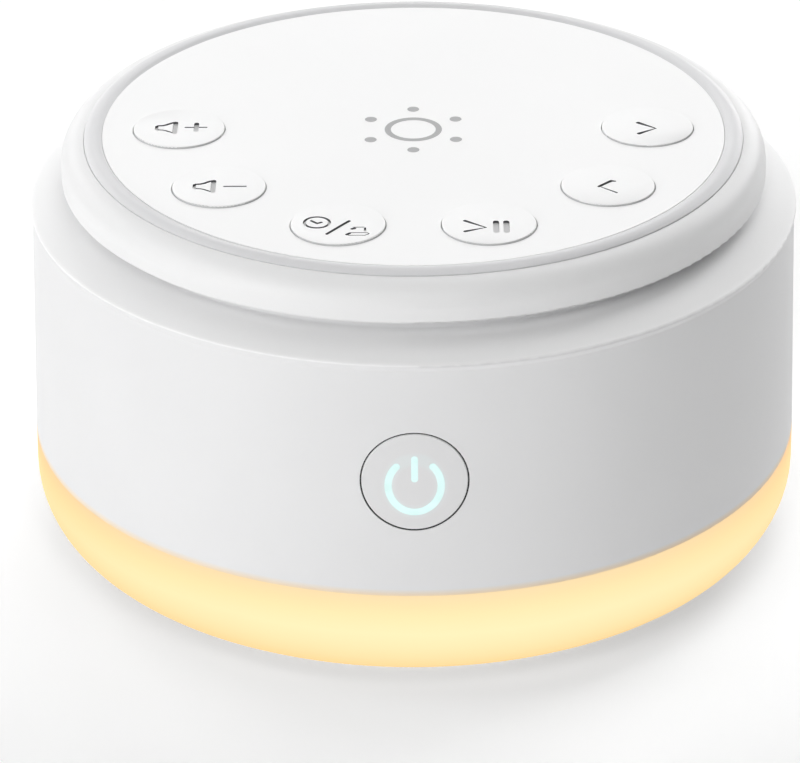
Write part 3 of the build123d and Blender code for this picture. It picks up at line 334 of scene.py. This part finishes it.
def stroke(points, width, end_width=None, steps=6):
    """Pairs of edge points along a stroke with round ends, from one width to end_width if it is given."""
    line = [Vector(p) for p in points]
    final = len(line) - 1
    first, last = width / 2, (end_width or width) / 2
    halves = [first + (last - first) * i / final for i in range(final + 1)]
    ways = [(line[min(i + 1, final)] - line[max(i - 1, 0)]).normalized() for i in range(final + 1)]
    turns = [pi / 2 * (k + blunt) / steps for k in range(steps)]
    stations = [(line[0] - ways[0] * first * cos(t), ways[0], first * sin(t)) for t in turns]
    stations += list(zip(line, ways, halves))
    stations += [(line[-1] + ways[-1] * last * cos(t), ways[-1], last * sin(t)) for t in reversed(turns)]
    return [(c + Vector((-w.y, w.x)) * h, c + Vector((w.y, -w.x)) * h) for c, w, h in stations]


def ring(centre, radius, width, count=48):
    """Pairs of edge points round a closed ring."""
    middle = Vector(centre)
    outer, inner = radius + width / 2, radius - width / 2
    turns = [2 * pi * i / count for i in range(count)]
    ways = [Vector((cos(t), sin(t))) for t in turns]
    return [(middle + way * outer, middle + way * inner) for way in ways]


def arc(centre, radii, start, end, count=40):
    """Points along an arc of a circle or an ellipse, angles in degrees from +x."""
    turns = [radians(start + (end - start) * i / count) for i in range(count + 1)]
    return [(centre[0] + radii[0] * cos(t), centre[1] + radii[1] * sin(t)) for t in turns]


def band(bm, pairs, place, closed=False):
    """Closed solid band; place() turns a flat point and a level of 0 or 1 into space."""
    sections = []
    for left, right in pairs:
        corners = ((left, 0), (right, 0), (right, 1), (left, 1))
        sections.append([bm.verts.new(place(point, level) * MM) for point, level in corners])
    count = len(sections)
    for i in range(count if closed else count - 1):
        a, b = sections[i], sections[(i + 1) % count]
        for k in range(4):
            bm.faces.new((a[k], a[(k + 1) % 4], b[(k + 1) % 4], b[k]))
    if not closed:
        bm.faces.new(sections[0])
        bm.faces.new(sections[-1])


def disc(bm, centre, radius, place, count=32):
    """Closed round plate."""
    turns = [2 * pi * i / count for i in range(count)]
    flat = [Vector((centre[0] + radius * cos(t), centre[1] + radius * sin(t))) for t in turns]
    top = [bm.verts.new(place(p, 0) * MM) for p in flat]
    low = [bm.verts.new(place(p, 1) * MM) for p in flat]
    bm.faces.new(top)
    bm.faces.new(reversed(low))
    for i in range(count):
        j = (i + 1) % count
        bm.faces.new((top[i], low[i], low[j], top[j]))


def shade_smooth(mesh):
    """Shades a mesh smooth between its sharp edges."""
    mesh.polygons.foreach_set("use_smooth", [True] * len(mesh.polygons))
    mesh.set_sharp_from_angle(angle=radians(smooth_angle))


def make_piece(name, bm, material):
    """Object from a bmesh, with its normals outwards and its sharp edges kept."""
    bmesh.ops.recalc_face_normals(bm, faces=bm.faces)
    mesh = bpy.data.meshes.new(name)
    bm.to_mesh(mesh)
    bm.free()
    mesh.materials.append(material)
    shade_smooth(mesh)
    piece = bpy.data.objects.new(name, mesh)
    bpy.context.scene.collection.objects.link(piece)
    return piece


# ---- Finger keys with their signs sunk into the tops ----

# How far the cutter reaches below the top of a key and above it
sign_depth = 0.32
cutter_rise = 0.3
key_top_z = panel_z + key_proud

# A face is upright if its normal rises less than the limit, and a key's side if it is this near the edge
upright_limit = 0.5
side_reach = 0.05

# Distances in metres: points this near are joined, and edges this short are dropped
weld = 1e-7
speck = 1e-8


def strokes(x, y, lines):
    """Strokes of a sign with its middle at x, y, from pairs of a line and its width."""
    return [stroke([(px + x, py + y) for px, py in line], width) for line, width in lines]


def speaker_sign(x, y):
    """Outline of a loudspeaker: a box that flares into a horn on the right."""
    box_top = [(-1.05, -0.6), (-1.22, -0.45), (-1.22, 0.5), (-1.05, 0.66), (-0.45, 0.72), (0.05, 0.98)]
    horn_top = [(0.55, 1.42), (0.95, 1.66), (1.2, 1.62)]
    below = [(1.15, -1.66), (0.6, -1.3), (0.0, -0.86), (-0.45, -0.66), (-1.05, -0.6)]
    mouth = [(1.2, 1.62), (1.2, -1.6)]
    return strokes(x, y, [(box_top + horn_top, 0.42), (below, 0.27), (mouth, 0.64)])


def minus_sign(x, y):
    return strokes(x, y, [([(-1.35, 0), (1.35, 0)], 0.32)])


def plus_sign(x, y):
    return minus_sign(x, y) + strokes(x, y, [([(0.05, 1.15), (0.05, -1.1)], 0.64)])


def clock_hands(x, y):
    hub = (0, -0.2)
    return strokes(x, y, [([(-0.75, 0.55), hub], 0.38), ([hub, (0.5, 0.1)], 0.38)])


def padlock_sign(x, y):
    """Outline of a padlock, its strokes thin where they run across and thick at the left ends."""
    shackle_top = [(-0.5, 1.85), (0.75, 1.9)]
    shackle_left = [(-0.68, 1.4), (-0.4, 1.52)]
    shackle_right = [(0.93, 1.65), (0.93, 0.8)]
    body_top = [(-0.95, 0.3), (1.2, 0.3), (1.42, 0.02)]
    body_left = [(-1.32, -0.22), (-1.02, 0.12)]
    body_bottom = [(-1.15, -0.45), (0.9, -0.45), (1.3, -0.15)]
    shackle = [(shackle_top, 0.18), (shackle_left, 0.46), (shackle_right, 0.26)]
    return strokes(x, y, shackle + [(body_top, 0.18), (body_left, 0.42), (body_bottom, 0.18)])


def chevron(tip, upper, lower, widths):
    """Arrow head of two strokes, each with its own width at the open end and at the tip."""
    (upper_end, upper_tip), (lower_end, lower_tip) = widths
    return [stroke([upper, tip], upper_end, upper_tip), stroke([lower, tip], lower_end, lower_tip)]


signs = {
    "volume_up": speaker_sign(-1.75, 0.02) + plus_sign(2.15, 0.16),
    "volume_down": speaker_sign(-1.95, -0.12) + minus_sign(2.0, -0.1),
    "timer_lock": clock_hands(-2.62, 0.15)
    + [stroke([(-1.35, -3.1), (1.35, 0.6)], 0.46)]
    + padlock_sign(2.45, -3.05),
    "play_pause": chevron((-0.4, -1.4), (-3.0, 0.55), (-3.0, -2.5), ((0.5, 0.2), (0.5, 0.14)))
    + [stroke([(0.86, 0.2), (0.86, -2.6)], 0.76), stroke([(2.15, 0.2), (2.15, -2.6)], 0.76)],
    "previous": chevron((-1.1, -0.53), (0.5, 1.1), (1.05, -2.4), ((0.54, 0.46), (0.3, 0.16)))
    + [stroke([(0.5, 1.1), (0.95, 1.0)], 0.5, 0.34)],
    "next": chevron((1.12, -0.7), (-1.12, 1.1), (-1.15, -2.3), ((0.58, 0.2), (0.56, 0.14))),
}
sign_rings = {"timer_lock": ring((-2.66, 0.24), 1.58, 0.36, 40)}


def welded_copy(name):
    """Bare copy of a node's mesh, its split points joined, to be cut as a new piece."""
    bm = bmesh.new()
    bm.from_mesh(nodes[name].data)
    bmesh.ops.remove_doubles(bm, verts=bm.verts, dist=weld)
    bmesh.ops.dissolve_degenerate(bm, edges=bm.edges, dist=speck)
    bm.verts.index_update()
    points = [v.co.copy() for v in bm.verts]
    faces = [[v.index for v in f.verts] for f in bm.faces]
    bm.free()
    clean = bmesh.new()
    made = [clean.verts.new(p) for p in points]
    for face in faces:
        clean.faces.new([made[i] for i in face])
    return clean


def cut(cap, cutter, middle):
    """Takes the cutter out of a key, and paints shade on the cuts' walls and the key's side with darker
    materials.
    """
    tool = cap.modifiers.new("cut", "BOOLEAN")
    tool.operation = "DIFFERENCE"
    tool.solver = "EXACT"
    tool.use_self = True
    tool.material_mode = "TRANSFER"
    tool.object = cutter
    bpy.context.view_layer.update()
    graph = bpy.context.evaluated_depsgraph_get()
    made = bpy.data.meshes.new_from_object(cap.evaluated_get(graph), depsgraph=graph)
    cap.modifiers.clear()
    cap.data = made
    for kind in ("groove_wall_shade", "key_side_shade"):
        made.materials.append(materials[kind])
    kinds = ("groove", "groove_wall_shade", "key_side_shade")
    slots = [slot.name for slot in made.materials]
    floor_slot, wall_shade_slot, side_shade_slot = (slots.index(materials[kind].name) for kind in kinds)
    # Painted shade: upright faces of the cuts and of the key's side get the dark materials
    for face in made.polygons:
        upright = abs(face.normal.z) < upright_limit
        if face.material_index == floor_slot and upright:
            face.material_index = wall_shade_slot
        elif upright and (face.center.xy / MM - middle).length > key_radius - side_reach:
            face.material_index = side_shade_slot
    shade_smooth(made)
    bpy.data.objects.remove(cutter)


def sunk_at(middle):
    """Puts flat points on a key: level 0 is above its top, and level 1 on the floor of its sign."""

    def place(point, level):
        rise = -sign_depth if level else cutter_rise
        return Vector((middle.x + point.x, middle.y + point.y, key_top_z + rise))

    return place


for i, name in enumerate(signs):
    turn = radians(first_key_angle + key_step * i)
    middle = Vector((key_circle * cos(turn), key_circle * sin(turn)))
    bm = bmesh.new()
    for pairs in signs[name]:
        band(bm, pairs, sunk_at(middle))
    if name in sign_rings:
        band(bm, sign_rings[name], sunk_at(middle), closed=True)
    cutter = make_piece("cutter", bm, materials["groove"])
    cap = make_piece(f"{name}_cap", welded_copy(f"{name}_key"), materials["key"])
    cut(cap, cutter, middle)
    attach(cap, f"{name}_button")
    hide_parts(f"{name}_key")

# ---- Brightness sign printed round the touch point ----

# Height of the print over the panel, its place along y, and the sizes of its ring and dots
print_rise = 0.02
print_y = -0.18
touch_radius = 3.33
touch_stroke = 0.8
dot_count = 6
dot_circle = 6.4
dot_radius = 0.78
first_dot_angle = 30


def on_panel(point, level):
    """Puts flat points on the panel: level 0 is just above it, and level 1 just below."""
    return Vector((point.x, point.y + print_y, panel_z + (print_rise if level == 0 else -print_rise)))


bm = bmesh.new()
band(bm, ring((0, 0), touch_radius, touch_stroke, 96), on_panel, closed=True)
for i in range(dot_count):
    turn = radians(first_dot_angle + 360 / dot_count * i)
    disc(bm, (dot_circle * cos(turn), dot_circle * sin(turn)), dot_radius, on_panel)
brightness = make_piece("brightness_sign", bm, materials["print"])
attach(brightness, "housing")

# ---- Power sign, lit from behind, and a black ring of painted shade in the gap round the power key ----

# Angle from straight up to each end of the sign's arc, and the heights and widths of its strokes
sign_opening = 43.5
arc_stroke = 0.9
bar_top = 35.15
bar_foot = 32.4
bar_stroke = 0.84

# Distances out from the wall of the sign's faces and the shade ring's faces, and the shade ring's play in
# its gap
sign_out = 0.02
sign_in = -0.15
gap_shade_out = -0.1
gap_shade_in = -0.5
gap_shade_play = 0.04


def on_wall(outside, inside):
    """Puts flat points on the curve of the body, at one offset for level 0 and another for level 1."""

    def place(point, level):
        radius = wall_radius(point.y) + (outside if level == 0 else inside)
        return Vector((point.x, -sqrt(radius**2 - point.x**2), point.y))

    return place


bm = bmesh.new()
half_axes = (sign_half_width, sign_half_height)
sign_arc = arc((0, sign_z), half_axes, 90 + sign_opening, 450 - sign_opening, 64)
band(bm, stroke(sign_arc, arc_stroke), on_wall(sign_out, sign_in))
band(bm, stroke([(0, bar_top), (0, bar_foot)], bar_stroke), on_wall(sign_out, sign_in))
power_sign = make_piece("power_sign", bm, materials["cyan"])
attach(power_sign, "power_button")

# Painted shade: a black ring sunk in the gap round the power key, where shade falls
bm = bmesh.new()
gap = power_hole_radius - power_key_radius
gap_shade_ring = ring((0, power_z), power_key_radius + gap / 2, gap - gap_shade_play, 120)
band(bm, gap_shade_ring, on_wall(gap_shade_out, gap_shade_in), closed=True)
gap_shade = make_piece("power_gap_shade", bm, materials["black"])
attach(gap_shade, "housing")

# ---- Contacts on both faces of the tongue of the power inlet ----

# Number, pitch and size of the contacts on a face, and how far in from the tongue's end their middles lie
contact_count = 12
contact_pitch = 0.5
contact_size = (0.26, 4.2, 0.04)
contact_inset = 2.6

low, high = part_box("usb_c_tongue")
bm = bmesh.new()
shape = Matrix.Diagonal((*(length * MM for length in contact_size), 1))
for z in (high.z, low.z):
    for i in range(contact_count):
        x = (low.x + high.x) / 2 + (i - (contact_count - 1) / 2) * contact_pitch * MM
        spot = Matrix.Translation((x, high.y - contact_inset * MM, z))
        bmesh.ops.create_cube(bm, size=1, matrix=spot @ shape)
contacts = make_piece("usb_contacts", bm, materials["gold"])
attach(contacts, "housing")

# ---- Camera at the photograph's angle, in metres and degrees ----

camera_target = Vector((0, 0, 0.01983))
camera_distance = 0.620
camera_height = radians(27.485)
camera_roll = radians(-0.221)

camera_data = bpy.data.cameras.new("camera")
camera_data.sensor_width = 36.0
camera_data.lens = 207.91
camera_data.shift_x = -0.0178
camera = bpy.data.objects.new("camera", camera_data)
bpy.context.scene.collection.objects.link(camera)
camera.location = camera_target + camera_distance * Vector((0, -cos(camera_height), sin(camera_height)))
look = (camera_target - camera.location).to_track_quat("-Z", "Y").to_matrix().to_4x4()
camera.matrix_world = Matrix.Translation(camera.location) @ look @ Matrix.Rotation(camera_roll, 4, "Z")
bpy.context.scene.camera = camera

# ---- Floor and soft studio light ----

# Light that the floor gives off: near and far distance in metres, strength at the near one and at the far
floor_lights = (
    (0.03, 0.10, 0.56, 0.0),  # bounce under the object
    (0.06, 0.095, 0.0, 0.13),  # white surroundings
    (0.5, 2.5, 0.0, 0.84),  # far haze
)
floor_reach = 6

corners = [(x * floor_reach, y * floor_reach, 0) for x, y in ((-1, -1), (1, -1), (1, 1), (-1, 1))]
floor_mesh = bpy.data.meshes.new("floor")
floor_mesh.from_pydata(corners, [], [(0, 1, 2, 3)])
floor = bpy.data.objects.new("floor", floor_mesh)
bpy.context.scene.collection.objects.link(floor)
floor_white = moulded("floor_white", (0.93, 0.93, 0.93), 0.9, grain=0.003, bump=0.02, specular=0.0)
floor_tree = floor_white.node_tree
floor_shader = floor_tree.nodes["Principled BSDF"]
add = node_adder(floor_tree)
place = add("ShaderNodeTexCoord").outputs["Object"]
distance = add("ShaderNodeVectorMath", [(place, 0)], operation="LENGTH").outputs["Value"]
total = None
for near, far, near_light, far_light in floor_lights:
    light = map_range(add, distance, near, far, near_light, far_light, "SMOOTHSTEP")
    if total:
        light = add("ShaderNodeMath", [(light, 0), (total, 1)], operation="ADD").outputs[0]
    total = light
set_inputs(floor_shader, {"Emission Color": (1, 1, 1, 1)})
floor_tree.links.new(total, floor_shader.inputs["Emission Strength"])
floor.data.materials.append(floor_white)

world = bpy.data.worlds.new("studio")
bpy.context.scene.world = world
world.use_nodes = True
backdrop = world.node_tree.nodes["Background"]
backdrop.inputs["Color"].default_value = (1, 1, 1, 1)
path = world.node_tree.nodes.new("ShaderNodeLightPath")
world.node_tree.links.new(path.outputs["Is Camera Ray"], backdrop.inputs["Strength"])
bpy.context.scene.view_settings.view_transform = "Standard"

light_distance = 1.2
light_aim = Vector((0, 0, 0.03))


def softbox(name, azimuth, height, power, size=0.6):
    """Square light on a dome round the object; azimuth 0 is in front and 90 on the right."""
    side, up = radians(azimuth), radians(height)
    data = bpy.data.lights.new(name, "AREA")
    data.size = size
    data.energy = power
    box = bpy.data.objects.new(name, data)
    box.location = light_distance * Vector((sin(side) * cos(up), -cos(side) * cos(up), sin(up)))
    box.rotation_euler = (light_aim - box.location).to_track_quat("-Z", "Y").to_euler()
    bpy.context.scene.collection.objects.link(box)


softbox("overhead", 0, 90, 1.5, size=0.7)
softbox("front", 0, 45, 3.6)
softbox("front_left", 315, 15, 5.2)
softbox("left", 270, 30, 2.4)
softbox("back_left", 225, 30, 2.9)
softbox("back_left_low", 202, 12, 1.2, size=0.4)
softbox("back", 180, 30, 2.7)
softbox("back_right_low", 157, 12, 2.1, size=0.4)
softbox("back_right", 135, 30, 4.3)
softbox("back_right_high", 135, 65, 2.1)
